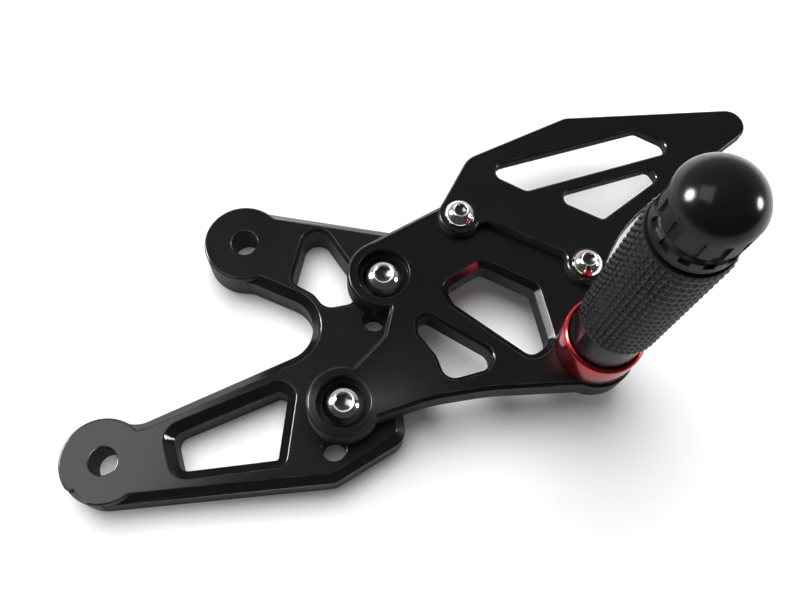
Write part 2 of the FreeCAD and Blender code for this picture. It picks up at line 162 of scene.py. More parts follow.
# Handling rubs the anodic film thin on the broken edges, in patches.
rubbed, rubbed_in, rubbed_out = effect(
    "rubbed edge",
    [("Vector", "NodeSocketVector", None), ("Patch", "NodeSocketFloat", 160.0),
     ("Cover", "NodeSocketFloat", 0.5)],
    [("Mask", "NodeSocketFloat")])
edge_mark = rubbed.nodes.new("ShaderNodeAttribute")
edge_mark.attribute_name = "broken_edge"
patch = rubbed.nodes.new("ShaderNodeTexNoise")
patch.inputs["Detail"].default_value = 3.0
rubbed.links.new(rubbed_in.outputs["Vector"], patch.inputs["Vector"])
rubbed.links.new(rubbed_in.outputs["Patch"], patch.inputs["Scale"])
patchy = math_node(rubbed, "SUBTRACT", patch.outputs["Fac"], 0.35)
patchy = math_node(rubbed, "MULTIPLY", patchy, 3.0, clamp=True)
patchy = math_node(rubbed, "MULTIPLY", patchy, rubbed_in.outputs["Cover"])
patchy = math_node(rubbed, "MULTIPLY", patchy, edge_mark.outputs["Fac"])
rubbed.links.new(patchy, rubbed_out.inputs["Mask"])


def new_finish(name):
    """A material with an empty Principled shader and the piece's own coordinates."""
    finish = bpy.data.materials.new(name)
    finish.use_nodes = True
    tree = finish.node_tree
    shader = tree.nodes["Principled BSDF"]
    place = tree.nodes.new("ShaderNodeTexCoord").outputs["Object"]
    return finish, tree, shader, place


def place_group(tree, group, place, **values):
    node = tree.nodes.new("ShaderNodeGroup")
    node.node_tree = group
    tree.links.new(place, node.inputs["Vector"])
    for label, value in values.items():
        node.inputs[label.replace("_", " ")].default_value = value
    return node


def ramp(tree, factor, low, high, start=0.0, end=1.0):
    """A colour that runs from low to high as the factor goes from start to end."""
    node = tree.nodes.new("ShaderNodeValToRGB")
    tree.links.new(factor, node.inputs["Fac"])
    node.color_ramp.elements[0].position = start
    node.color_ramp.elements[0].color = (*low, 1)
    node.color_ramp.elements[1].position = end
    node.color_ramp.elements[1].color = (*high, 1)
    return node.outputs["Color"]


def value_between(tree, factor, low, high):
    node = tree.nodes.new("ShaderNodeMapRange")
    tree.links.new(factor, node.inputs["Value"])
    node.inputs["To Min"].default_value = low
    node.inputs["To Max"].default_value = high
    return node.outputs["Result"]


def mix_colour(tree, factor, first, second):
    """Mixes two colours, each a tuple or a socket."""
    node = tree.nodes.new("ShaderNodeMix")
    node.data_type = "RGBA"
    tree.links.new(factor, node.inputs["Factor"])
    for label, colour in (("A", first), ("B", second)):
        if isinstance(colour, tuple):
            node.inputs[label].default_value = (*colour, 1)
        else:
            tree.links.new(colour, node.inputs[label])
    return node.outputs["Result"]


def bump(tree, height, distance, strength, under=None):
    node = tree.nodes.new("ShaderNodeBump")
    node.inputs["Distance"].default_value = distance
    node.inputs["Strength"].default_value = strength
    tree.links.new(height, node.inputs["Height"])
    if under is not None:
        tree.links.new(under, node.inputs["Normal"])
    return node.outputs["Normal"]


def black_anodised(name, deep, pale, smooth, rough, tooth_mm, tooth_depth, rub, shine):
    """Black anodic film: deep to pale in clouds, smooth to rough, coarser on milled walls."""
    finish, tree, shader, place = new_finish(name)
    grain = place_group(tree, blasted, place, Grains_per_mm=tooth_mm)
    rub_mask = place_group(tree, rubbed, place, Cover=rub).outputs["Mask"]
    film = ramp(tree, grain.outputs["Cloud"], deep, pale, 0.3, 0.7)
    thin_film = (0.075, 0.075, 0.078)
    tree.links.new(mix_colour(tree, rub_mask, film, thin_film), shader.inputs["Base Color"])
    cut = tree.nodes.new("ShaderNodeAttribute")
    cut.attribute_name = "milled_side"
    even = value_between(tree, grain.outputs["Cloud"], smooth, rough)
    wall_roughness = 0.45
    coarser = math_node(tree, "MULTIPLY", cut.outputs["Fac"], wall_roughness)
    tree.links.new(math_node(tree, "ADD", even, coarser), shader.inputs["Roughness"])
    shader.inputs["Specular IOR Level"].default_value = shine
    normal = bump(tree, grain.outputs["Height"], 0.02 * mm, tooth_depth)
    tree.links.new(normal, shader.inputs["Normal"])
    return finish, tree, shader, place, normal


bracket_finish = black_anodised(
    "bracket_black_anodised", (0.0075, 0.0078, 0.0083), (0.0102, 0.0105, 0.0111), smooth=0.12, rough=0.16,
    tooth_mm=5.0, tooth_depth=0.4, rub=0.4, shine=0.30)[0]
# A knock took a bite off the outer edge of the lower boss: a prism, as turn and reach in
# degrees and millimetres from the boss centre, between two heights.
lower_boss = (0.0, -43.5)
bite_floor = 10.5
bite_top = 15.0
bite_corners = [(247.0, 14.2), (254.5, 12.1), (284.0, 14.2), (270.0, 17.0), (254.0, 17.0)]
bite_shape = bmesh.new()
bite_rings = []
for height in (bite_floor, bite_top):
    ring = []
    for turn, reach in bite_corners:
        x = lower_boss[0] + reach * math.cos(math.radians(turn))
        y = lower_boss[1] + reach * math.sin(math.radians(turn))
        ring.append(bite_shape.verts.new((mm * x, mm * y, mm * height)))
    bite_rings.append(ring)
for k in range(len(bite_corners)):
    bite_shape.faces.new((bite_rings[0][k - 1], bite_rings[0][k], bite_rings[1][k], bite_rings[1][k - 1]))
bite_shape.faces.new(bite_rings[0])
bite_shape.faces.new(bite_rings[1])
bmesh.ops.recalc_face_normals(bite_shape, faces=bite_shape.faces)
bite_mesh = bpy.data.meshes.new("bite")
bite_shape.to_mesh(bite_mesh)
bite_shape.free()
bite = bpy.data.objects.new("bite", bite_mesh)
bpy.context.scene.collection.objects.link(bite)
bracket = broken_edges("frame_bracket", "bracket_plate", 0.22 * mm, bite)
bpy.data.objects.remove(bite)
bracket.data.materials.append(bracket_finish)
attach(bracket, "root")
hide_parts("frame_bracket")


# Peg hanger: a second billet plate screwed on the outer face of the bracket. It carries the
# peg at its far end, and its face was left finer than the bracket's, with faint cutter rings
# about the lower screw where the boss was faced.
cutter, cutter_in, cutter_out = effect(
    "cutter rings",
    [("Vector", "NodeSocketVector", None), ("Centre X", "NodeSocketFloat", 0.0),
     ("Centre Y", "NodeSocketFloat", 0.0), ("Rings per mm", "NodeSocketFloat", 3.0),
     ("Reach", "NodeSocketFloat", 0.03)],
    [("Height", "NodeSocketFloat")])
spot = cutter.nodes.new("ShaderNodeSeparateXYZ")
cutter.links.new(cutter_in.outputs["Vector"], spot.inputs[0])
off_x = math_node(cutter, "SUBTRACT", spot.outputs["X"], cutter_in.outputs["Centre X"])
off_y = math_node(cutter, "SUBTRACT", spot.outputs["Y"], cutter_in.outputs["Centre Y"])
square_x = math_node(cutter, "MULTIPLY", off_x, off_x)
square_y = math_node(cutter, "MULTIPLY", off_y, off_y)
far = math_node(cutter, "SQRT", math_node(cutter, "ADD", square_x, square_y))
rings_per_m = math_node(cutter, "MULTIPLY", cutter_in.outputs["Rings per mm"], 2000 * math.pi)
ring_wave = math_node(cutter, "SINE", math_node(cutter, "MULTIPLY", far, rings_per_m))
fade = math_node(cutter, "DIVIDE", far, cutter_in.outputs["Reach"])
fade = math_node(cutter, "SUBTRACT", 1.0, fade, clamp=True)
cutter.links.new(math_node(cutter, "MULTIPLY", ring_wave, fade), cutter_out.inputs["Height"])

lower_screw = (59.6 * mm, 7.3 * mm)
hanger_top = 24 * mm
hanger_finish, hanger_tree, hanger_shader, hanger_place, hanger_normal = black_anodised(
    "hanger_black_anodised", (0.0044, 0.0046, 0.0051), (0.0060, 0.0062, 0.0069), smooth=0.15, rough=0.20,
    tooth_mm=7.0, tooth_depth=0.2, rub=0.35, shine=0.26)
faced = place_group(hanger_tree, cutter, hanger_place, Centre_X=lower_screw[0], Centre_Y=lower_screw[1],
                    Rings_per_mm=3.2, Reach=42 * mm)
hanger_tree.links.new(bump(hanger_tree, faced.outputs["Height"], 0.012 * mm, 0.9, hanger_normal),
                      hanger_shader.inputs["Normal"])
# The rings stretch the sheen outward from the screw and make it softer near the boss.
outward = hanger_tree.nodes.new("ShaderNodeVectorMath")
outward.operation = "SUBTRACT"
hanger_tree.links.new(hanger_place, outward.inputs[0])
outward.inputs[1].default_value = (*lower_screw, hanger_top)
ring_r = hanger_tree.nodes.new("ShaderNodeVectorMath")
ring_r.operation = "LENGTH"
hanger_tree.links.new(outward.outputs[0], ring_r.inputs[0])
faced_r = 48 * mm
near_boss = math_node(hanger_tree, "DIVIDE", ring_r.outputs["Value"], faced_r)
near_boss = math_node(hanger_tree, "SUBTRACT", 1.0, near_boss, clamp=True)
hanger_shader.inputs["Anisotropic"].default_value = 0.7
hanger_tree.links.new(outward.outputs[0], hanger_shader.inputs["Tangent"])
hanger_rough = hanger_shader.inputs["Roughness"].links[0].from_socket
boss_rough = math_node(hanger_tree, "MULTIPLY", near_boss, 0.16)
hanger_rough = math_node(hanger_tree, "ADD", hanger_rough, boss_rough)
hanger_tree.links.new(hanger_rough, hanger_shader.inputs["Roughness"])
hanger = broken_edges("peg_hanger", "hanger_plate", 0.2 * mm)
hanger.data.materials.append(hanger_finish)
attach(hanger, "root")
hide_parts("peg_hanger")


# Heel guard: a flat aluminium plate that keeps the rider's heel off the wheel side. It was
# profiled from sheet, lightly broken at the edges and anodised black, and sits on two tabs.
guard_finish = black_anodised(
    "guard_black_anodised", (0.0044, 0.0046, 0.0050), (0.0060, 0.0062, 0.0067), smooth=0.22, rough=0.28,
    tooth_mm=6.0, tooth_depth=0.3, rub=0.4, shine=0.26)[0]
guard = broken_edges("heel_guard", "guard_plate", 0.16 * mm)
guard.data.materials.append(guard_finish)
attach(guard, "root")
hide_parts("heel_guard")


# Screws: polished stainless button heads with a hexagon socket, M8 sunk in the hanger's
# counterbores and M6 on the heel guard's tabs. Heads are turned and the sockets broached.
def skin(shape, rings):
    """Joins neighbouring rings of points by quads, or by triangles at a single point."""
    for low, high in zip(rings, rings[1:]):
        count = max(len(low), len(high))
        for k in range(count):
            after = k + 1
            corners = [low[k % len(low)], low[after % len(low)], high[after % len(high)], high[k % len(high)]]
            corners = list(dict.fromkeys(corners))
            if len(corners) > 2:
                shape.faces.new(corners)


def ring_points(shape, centre, height, reach, count):
    """One ring of points about the vertical through centre; reach gives the radius at each turn."""
    points = []
    for k in range(count):
        turn = 2 * math.pi * k / count
        points.append(shape.verts.new(
            (centre[0] + reach(turn) * math.cos(turn), centre[1] + reach(turn) * math.sin(turn), height)))
    return points


def solid_piece(name, shape, sharp=30):
    bmesh.ops.remove_doubles(shape, verts=shape.verts, dist=0.001 * mm)
    bmesh.ops.recalc_face_normals(shape, faces=shape.faces)
    mesh = bpy.data.meshes.new(name)
    shape.to_mesh(mesh)
    shape.free()
    mesh.shade_smooth()
    mesh.set_sharp_from_angle(angle=math.radians(sharp))
    return mesh


def button_head(name, head_r, head_h, shank_r, length, across):
    """A screw whose head seat is at height 0, pointing down."""
    shape = bmesh.new()
    count = 72
    rings = []

    def turned_ring(radius, height):
        rings.append(ring_points(shape, (0, 0), height, lambda turn: radius, count))

    def hex_ring(flats, height):
        corner_r = 0.985 * flats / 2 / math.cos(math.pi / 6)

        def reach(turn):
            off = (turn + math.pi / 6) % (math.pi / 3) - math.pi / 6
            return min(flats / 2 / math.cos(off), corner_r)
        rings.append(ring_points(shape, (0, 0), height, reach, count))

    # The dome is part of a ball through the rim and through the edge of the socket's mouth.
    rim = head_h * 0.18
    mouth_r = head_r * 0.5
    sink = (head_h ** 2 - rim ** 2 - head_r ** 2 + mouth_r ** 2) / (2 * (head_h - rim))
    ball_r = math.hypot(head_r, rim - sink)
    low_turn = math.atan2(rim - sink, head_r)
    high_turn = math.atan2(head_h - sink, mouth_r)
    tip_break = 0.6 * mm
    seat_break = 0.25 * mm
    rings.append([shape.verts.new((0, 0, -length))])
    turned_ring(shank_r - tip_break, -length)
    turned_ring(shank_r, -length + tip_break)
    turned_ring(shank_r, 0)
    turned_ring(head_r - seat_break, 0)
    turned_ring(head_r, seat_break)
    turned_ring(head_r, rim)
    steps = 14
    for i in range(1, steps + 1):
        turn = low_turn + (high_turn - low_turn) * i / steps
        turned_ring(ball_r * math.cos(turn), sink + ball_r * math.sin(turn))
    # A turned lip and a countersink lead into the hexagon, which ends in a drill point.
    lip_r = mouth_r * 0.87
    hex_top = head_h * 0.84
    drill_h = head_h * 0.38
    turned_ring(mouth_r * 0.95, head_h)
    turned_ring(lip_r, head_h * 0.955)
    hex_ring(across, hex_top)
    hex_ring(across, head_h * 0.42)
    turned_ring(across * 0.44, drill_h)
    rings.append([shape.verts.new((0, 0, drill_h - across * 0.15))])
    skin(shape, rings)
    # Faces inside the socket, below the lip, are marked for a duller roughness and for painted shade: a dark
    # steel colour standing in for the shade in the recess.
    dull_and_shaded_socket = shape.faces.layers.float.new("socket")
    turned = shape.faces.layers.float.new("mouth")
    for face in shape.faces:
        middle = face.calc_center_median()
        off_axis = math.hypot(middle.x, middle.y)
        if off_axis < mouth_r and middle.z > head_h * 0.96:
            face[turned] = 1.0
        elif off_axis < mouth_r and middle.z > hex_top:
            face[turned] = 0.45
        elif off_axis < lip_r and middle.z > 0:
            face[dull_and_shaded_socket] = 1.0
    return bpy.data.objects.new(name, solid_piece(name, shape, 24))


def screws_in_place(name, blank, places, finish):
    """Geometry nodes: one blank instanced at every place, each turned by its own angle."""
    tree = bpy.data.node_groups.new(name + " in their holes", "GeometryNodeTree")
    tree.interface.new_socket("Geometry", in_out="INPUT", socket_type="NodeSocketGeometry")
    blank_socket = tree.interface.new_socket("Screw", in_out="INPUT", socket_type="NodeSocketObject")
    finish_socket = tree.interface.new_socket("Finish", in_out="INPUT", socket_type="NodeSocketMaterial")
    tree.interface.new_socket("Geometry", in_out="OUTPUT", socket_type="NodeSocketGeometry")
    given = tree.nodes.new("NodeGroupInput")
    made = tree.nodes.new("NodeGroupOutput")
    info = tree.nodes.new("GeometryNodeObjectInfo")
    turn = tree.nodes.new("GeometryNodeInputNamedAttribute")
    turn.data_type = "FLOAT"
    turn.inputs["Name"].default_value = "socket_turn"
    about = tree.nodes.new("ShaderNodeCombineXYZ")
    put = tree.nodes.new("GeometryNodeInstanceOnPoints")
    real = tree.nodes.new("GeometryNodeRealizeInstances")
    paint = tree.nodes.new("GeometryNodeSetMaterial")
    tree.links.new(given.outputs["Screw"], info.inputs["Object"])
    tree.links.new(turn.outputs["Attribute"], about.inputs["Z"])
    tree.links.new(given.outputs["Geometry"], put.inputs["Points"])
    tree.links.new(info.outputs["Geometry"], put.inputs["Instance"])
    tree.links.new(about.outputs[0], put.inputs["Rotation"])
    tree.links.new(put.outputs["Instances"], real.inputs["Geometry"])
    tree.links.new(real.outputs["Geometry"], paint.inputs["Geometry"])
    tree.links.new(given.outputs["Finish"], paint.inputs["Material"])
    tree.links.new(paint.outputs["Geometry"], made.inputs["Geometry"])
    holes = bpy.data.meshes.new(name)
    holes.from_pydata([place[0] for place in places], [], [])
    turns = holes.attributes.new("socket_turn", "FLOAT", "POINT")
    turns.data.foreach_set("value", [place[1] for place in places])
    piece = bpy.data.objects.new(name, holes)
    fit = piece.modifiers.new("screws", "NODES")
    fit.node_group = tree
    fit[blank_socket.identifier] = blank
    fit[finish_socket.identifier] = finish
    bpy.context.scene.collection.objects.link(piece)
    depsgraph = bpy.context.evaluated_depsgraph_get()
    plain = bpy.data.meshes.new_from_object(piece.evaluated_get(depsgraph))
    piece.modifiers.clear()
    piece.data = plain
    bpy.data.objects.remove(blank)
    return piece


stainless, steel_tree, steel_shader, steel_place = new_finish("stainless_polished")
steel_cloud = place_group(steel_tree, blasted, steel_place, Grains_per_mm=3.0)
bright = ramp(steel_tree, steel_cloud.outputs["Cloud"], (0.66, 0.64, 0.60), (0.78, 0.76, 0.72), 0.3, 0.7)
socket_dull_and_shade = steel_tree.nodes.new("ShaderNodeAttribute")
socket_dull_and_shade.attribute_name = "socket"
at_mouth = steel_tree.nodes.new("ShaderNodeAttribute")
at_mouth.attribute_name = "mouth"
turned_steel = mix_colour(steel_tree, at_mouth.outputs["Fac"], bright, (0.95, 0.94, 0.92))
# Painted shade: inside the socket the steel is coloured dark where the recess lies in shade; the socket is
# also made duller in roughness below.
steel_with_socket_shade = mix_colour(steel_tree, socket_dull_and_shade.outputs["Fac"], turned_steel, (0.24, 0.23, 0.22))
steel_tree.links.new(steel_with_socket_shade, steel_shader.inputs["Base Color"])
polish = value_between(steel_tree, steel_cloud.outputs["Cloud"], 0.06, 0.11)
broached = math_node(steel_tree, "MULTIPLY", socket_dull_and_shade.outputs["Fac"], 0.14)
tooled = math_node(steel_tree, "MULTIPLY", at_mouth.outputs["Fac"], 0.36)
dull = math_node(steel_tree, "ADD", broached, tooled)
steel_tree.links.new(math_node(steel_tree, "ADD", polish, dull), steel_shader.inputs["Roughness"])
steel_bump = bump(steel_tree, steel_cloud.outputs["Height"], 0.01 * mm, 0.2)
steel_tree.links.new(steel_bump, steel_shader.inputs["Normal"])
steel_shader.inputs["Metallic"].default_value = 1.0

upper_screw = (50.3 * mm, 52.7 * mm)
front_tab = (63.9 * mm, 83.3 * mm)
rear_tab = (110.0 * mm, 87.5 * mm)
hanger_seat = 19.6 * mm
guard_top = 28.0 * mm
hanger_screws = screws_in_place(
    "hanger_screws",
    button_head("m8_button_screw", head_r=7.0 * mm, head_h=4.4 * mm, shank_r=4.0 * mm, length=18.1 * mm,
                across=5.0 * mm),
    [((*lower_screw, hanger_seat), 0.25), ((*upper_screw, hanger_seat), 0.75)], stainless)
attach(hanger_screws, "root")
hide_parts("hanger_screw_lower", "hanger_screw_upper")
guard_screws = screws_in_place(
    "guard_screws",
    button_head("m6_button_screw", head_r=5.25 * mm, head_h=3.3 * mm, shank_r=3.0 * mm, length=13.0 * mm,
                across=4.0 * mm),
    [((*front_tab, guard_top), 0.1), ((*rear_tab, guard_top), 0.55)], stainless)
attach(guard_screws, "root")
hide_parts("guard_screw_front", "guard_screw_rear")


# Peg collar: a turned aluminium ring, anodised red, that spaces the peg off the hanger. Its
# cup centres the foot of the peg, and its top edge is chamfered.
peg_axis = (124.2 * mm, 62.6 * mm)


def lathe(name, profile, sharp=30, count=144):
    """A turned piece about the peg's axis from (radius, height) points in millimetres, closed on itself."""
    shape = bmesh.new()
    rings = []
    for radius, height in profile + profile[:1]:
        rings.append(ring_points(shape, peg_axis, height * mm, lambda turn: radius * mm, count))
    skin(shape, rings)
    return solid_piece(name, shape, sharp)


def add_piece(name, mesh, finish):
    piece = bpy.data.objects.new(name, mesh)
    bpy.context.scene.collection.objects.link(piece)
    if not mesh.materials:
        mesh.materials.append(finish)
    return piece


collar_mesh = lathe("peg_collar_ring", [
    (5.35, 24.0), (12.75, 24.0), (12.98, 24.06), (13.14, 24.2), (13.2, 24.42), (13.2, 36.55), (13.17, 36.72),
    (13.09, 36.86), (12.46, 37.48), (12.34, 37.57), (12.2, 37.6), (12.0, 37.6), (11.86, 37.55), (11.8, 37.4),
    (11.8, 33.6), (5.35, 33.6)])
collar_finish, collar_tree, collar_shader, collar_place = new_finish("collar_red_anodised")
collar_cloud = place_group(collar_tree, blasted, collar_place, Grains_per_mm=4.0)
lathe_spot = collar_tree.nodes.new("ShaderNodeSeparateXYZ")
collar_tree.links.new(collar_place, lathe_spot.inputs[0])
tool_line = collar_tree.nodes.new("ShaderNodeTexNoise")
tool_line.noise_dimensions = "1D"
tool_line.inputs["Scale"].default_value = 9000.0
tool_line.inputs["Detail"].default_value = 2.0
collar_tree.links.new(lathe_spot.outputs["Z"], tool_line.inputs["W"])
red = ramp(collar_tree, collar_cloud.outputs["Cloud"], (0.40, 0.016, 0.022), (0.50, 0.024, 0.032), 0.3, 0.7)
collar_tree.links.new(red, collar_shader.inputs["Base Color"])
collar_rough = value_between(collar_tree, tool_line.outputs["Fac"], 0.15, 0.21)
collar_tree.links.new(collar_rough, collar_shader.inputs["Roughness"])
collar_bump = bump(collar_tree, tool_line.outputs["Fac"], 0.01 * mm, 0.35)
collar_tree.links.new(collar_bump, collar_shader.inputs["Normal"])
collar_shader.inputs["Metallic"].default_value = 0.85
collar_shader.inputs["Coat Weight"].default_value = 0.2
collar_shader.inputs["Coat Roughness"].default_value = 0.12
collar = add_piece("peg_collar_ring", collar_mesh, collar_finish)
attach(collar, "root")
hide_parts("peg_collar")


# Peg barrel: the foot rest itself, turned from aluminium bar. Ring grooves and lengthwise
# grooves cross on the grip and leave rows of small blunt pyramids; the plain neck below has
# two wrench flats. The whole bar is anodised black.
neck_r = 11.4
neck_flat = 9.9
flat_turn = math.radians(200)
grip_low = 53.0
grip_high = 111.5
grip_root_r = 11.75
grip_tip_r = 12.5


def neck_and_core():
    """Neck with its two flats, and the plain core inside the grip."""
    shape = bmesh.new()
    steps = [(5.05, 33.6, False), (neck_r - 0.5, 33.6, False), (neck_r, 34.1, False), (neck_r, 38.1, False),
             (neck_r, 38.1, True), (neck_r, 51.5, True), (neck_r, 51.5, False), (neck_r, 52.35, False),
             (10.95, 52.45, False), (10.95, 52.95, False),
             (grip_root_r, grip_low, False), (grip_root_r - 0.06, grip_low + 0.06, False),
             (grip_root_r - 0.06, grip_high - 0.06, False), (grip_root_r, grip_high, False),
             (10.0, grip_high, False), (10.0, 112.4, False), (3.05, 112.4, False), (3.05, 97.0, False),
             (5.05, 97.0, False)]
    rings = []
    for radius, height, flat in steps + steps[:1]:
        def reach(turn):
            side = abs(math.cos(turn - flat_turn))
            return min(radius, neck_flat / side) * mm if flat and side > 0.01 else radius * mm
        rings.append(ring_points(shape, peg_axis, height * mm, reach, 240))
    skin(shape, rings)
    return solid_piece("neck and core", shape)


def knurl_tree():
    """A flat grid rolled round the axis; its radius rises to a blunt pyramid in every cell."""
    tree = bpy.data.node_groups.new("crossed grooves", "GeometryNodeTree")
    sockets = {}
    for label, kind in (("Rows", "NodeSocketInt"), ("Columns", "NodeSocketInt"), ("Steps", "NodeSocketInt"),
                        ("Root", "NodeSocketFloat"), ("Tip", "NodeSocketFloat"), ("Low", "NodeSocketFloat"),
                        ("High", "NodeSocketFloat"), ("Blunt", "NodeSocketFloat"),
                        ("Axis X", "NodeSocketFloat"), ("Axis Y", "NodeSocketFloat"),
                        ("Finish", "NodeSocketMaterial")):
        sockets[label] = tree.interface.new_socket(label, in_out="INPUT", socket_type=kind).identifier
    tree.interface.new_socket("Geometry", in_out="OUTPUT", socket_type="NodeSocketGeometry")
    given = tree.nodes.new("NodeGroupInput").outputs
    made = tree.nodes.new("NodeGroupOutput")
    sheet = tree.nodes.new("GeometryNodeMeshGrid")
    across = math_node(tree, "ADD", math_node(tree, "MULTIPLY", given["Columns"], given["Steps"]), 1)
    along = math_node(tree, "ADD", math_node(tree, "MULTIPLY", given["Rows"], given["Steps"]), 1)
    tree.links.new(across, sheet.inputs["Vertices X"])
    tree.links.new(along, sheet.inputs["Vertices Y"])
    sheet.inputs["Size X"].default_value = 1.0
    sheet.inputs["Size Y"].default_value = 1.0
    where = tree.nodes.new("ShaderNodeSeparateXYZ")
    tree.links.new(tree.nodes.new("GeometryNodeInputPosition").outputs[0], where.inputs[0])
    round_part = math_node(tree, "ADD", where.outputs["X"], 0.5)
    long_part = math_node(tree, "ADD", where.outputs["Y"], 0.5)
    slopes = []
    for part, cells in ((round_part, given["Columns"]), (long_part, given["Rows"])):
        saw = math_node(tree, "PINGPONG", math_node(tree, "MULTIPLY", part, cells), 0.5)
        slopes.append(math_node(tree, "MULTIPLY", saw, 2.0))
    rise = math_node(tree, "MINIMUM", *slopes)
    rise = math_node(tree, "MINIMUM", math_node(tree, "MULTIPLY", rise, given["Blunt"]), 1.0)
    tooth_h = math_node(tree, "SUBTRACT", given["Tip"], given["Root"])
    radius = math_node(tree, "ADD", given["Root"], math_node(tree, "MULTIPLY", rise, tooth_h))
    turn = math_node(tree, "MULTIPLY", round_part, 2 * math.pi)
    rolled = tree.nodes.new("ShaderNodeCombineXYZ")
    for axis, wave, centre in (("X", "COSINE", "Axis X"), ("Y", "SINE", "Axis Y")):
        swing = math_node(tree, "MULTIPLY", radius, math_node(tree, wave, turn))
        tree.links.new(math_node(tree, "ADD", swing, given[centre]), rolled.inputs[axis])
    lift = math_node(tree, "MULTIPLY", long_part, math_node(tree, "SUBTRACT", given["High"], given["Low"]))
    tree.links.new(math_node(tree, "ADD", lift, given["Low"]), rolled.inputs["Z"])
    roll = tree.nodes.new("GeometryNodeSetPosition")
    close = tree.nodes.new("GeometryNodeMergeByDistance")
    close.inputs["Distance"].default_value = 0.002 * mm
    real = tree.nodes.new("GeometryNodeRealizeInstances")
    paint = tree.nodes.new("GeometryNodeSetMaterial")
    tree.links.new(sheet.outputs["Mesh"], roll.inputs["Geometry"])
    tree.links.new(rolled.outputs[0], roll.inputs["Position"])
    tree.links.new(roll.outputs["Geometry"], close.inputs["Geometry"])
    tree.links.new(close.outputs["Geometry"], real.inputs["Geometry"])
    tree.links.new(real.outputs["Geometry"], paint.inputs["Geometry"])
    tree.links.new(given["Finish"], paint.inputs["Material"])
    tree.links.new(paint.outputs["Geometry"], made.inputs["Geometry"])
    return tree, sockets


grip_finish = black_anodised(
    "grip_black_anodised", (0.009, 0.009, 0.0094), (0.013, 0.013, 0.0134), smooth=0.22, rough=0.30,
    tooth_mm=6.0, tooth_depth=0.4, rub=0.0, shine=0.15)[0]
grip_tree, grip_sockets = knurl_tree()
grip_sheet = bpy.data.objects.new("grip sheet", bpy.data.meshes.new("grip sheet"))
rolling = grip_sheet.modifiers.new("crossed grooves", "NODES")
rolling.node_group = grip_tree
for label, value in (("Rows", 18), ("Columns", 40), ("Steps", 6), ("Root", grip_root_r * mm),
                     ("Tip", grip_tip_r * mm), ("Low", grip_low * mm), ("High", grip_high * mm),
                     ("Blunt", 1.25), ("Axis X", peg_axis[0]), ("Axis Y", peg_axis[1]),
                     ("Finish", grip_finish)):
    rolling[grip_sockets[label]] = value
bpy.context.scene.collection.objects.link(grip_sheet)
grip_mesh = bpy.data.meshes.new_from_object(grip_sheet.evaluated_get(bpy.context.evaluated_depsgraph_get()))
bpy.data.objects.remove(grip_sheet)
bar = bmesh.new()
bar.from_mesh(grip_mesh)
bmesh.ops.recalc_face_normals(bar, faces=bar.faces)
# The rolled sheet is open at its ends, so its faces are turned outward by a count of their normals.
facing_out = 0.0
for face in bar.faces:
    middle = face.calc_center_median()
    facing_out += face.normal.dot(middle - Vector((*peg_axis, middle.z)))
if facing_out < 0:
    bmesh.ops.reverse_faces(bar, faces=list(bar.faces))
bar.from_mesh(neck_and_core())
barrel_mesh = bpy.data.meshes.new("peg_barrel_bar")
bar.to_mesh(barrel_mesh)
bar.free()
barrel_mesh.shade_smooth()
barrel_mesh.set_sharp_from_angle(angle=math.radians(32))
barrel = add_piece("peg_barrel_bar", barrel_mesh, grip_finish)
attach(barrel, "root")
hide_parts("peg_barrel")


# End cap: a turned and milled aluminium cap on the outer end of the peg. A smooth dome stands
# over a skirt that has a ring groove and twelve milled pockets; it screws on by a hidden stud.
cap_r = 11.3
cap_bore_r = 3.05
cap_bore_top = 122.0
cap_low = 112.4
groove_r = 9.9
skirt_top = 128.4
cap_top = 136.7
cap_notches = 12
notch_deep = 1.0
notch_half = math.degrees(1.4 / cap_r)


def cap_sector():
    """One twelfth of the cap: a strip of its outer skin with one pocket in the middle."""
    shape = bmesh.new()
    half = 180.0 / cap_notches
    lanes = [-half, -11.5, -notch_half - 0.9, -notch_half - 0.25, -notch_half, -3.5, 0,
             3.5, notch_half, notch_half + 0.25, notch_half + 0.9, 11.5, half]
    # Radius, height, and 1 where the row passes through the pocket.
    side = [(cap_bore_r, cap_low, 0), (cap_r - 0.8, cap_low, 0), (cap_r - 0.2, cap_low + 0.2, 0),
            (cap_r, cap_low + 0.8, 0), (cap_r, 115.5, 0), (cap_r, 115.6, 1), (cap_r, 117.45, 1),
            (cap_r - 0.15, 117.6, 1), (groove_r, 118.2, 1), (groove_r, 120.2, 1), (cap_r - 0.15, 120.4, 1),
            (cap_r, 120.6, 1), (cap_r, 126.95, 1), (cap_r, 127.05, 0), (cap_r, skirt_top + 0.05, 0)]
    dome_h = 8.1
    ball_r = (cap_r ** 2 + dome_h ** 2) / (2 * dome_h)
    lean = math.asin(cap_r / ball_r)
    steps = 22
    for i in range(1, steps):
        turn = lean * (1 - i / steps)
        side.append((ball_r * math.sin(turn), cap_top - ball_r + ball_r * math.cos(turn), 0))
    side.append((0, cap_top, 0))
    rows = []
    for radius, height, pocket in side:
        row = []
        for lane in lanes:
            turn = math.radians(lane)
            deep = pocket and abs(lane) <= notch_half + 1e-6
            reach = mm * (min(radius, (cap_r - notch_deep) / math.cos(turn)) if deep else radius)
            row.append(shape.verts.new((reach * math.cos(turn), reach * math.sin(turn), height * mm)))
        rows.append(row)
    for low, high in zip(rows, rows[1:]):
        for k in range(len(lanes) - 1):
            shape.faces.new((low[k], low[k + 1], high[k + 1], high[k]))
    mesh = bpy.data.meshes.new("cap sector")
    shape.to_mesh(mesh)
    shape.free()
    return bpy.data.objects.new("cap sector", mesh)


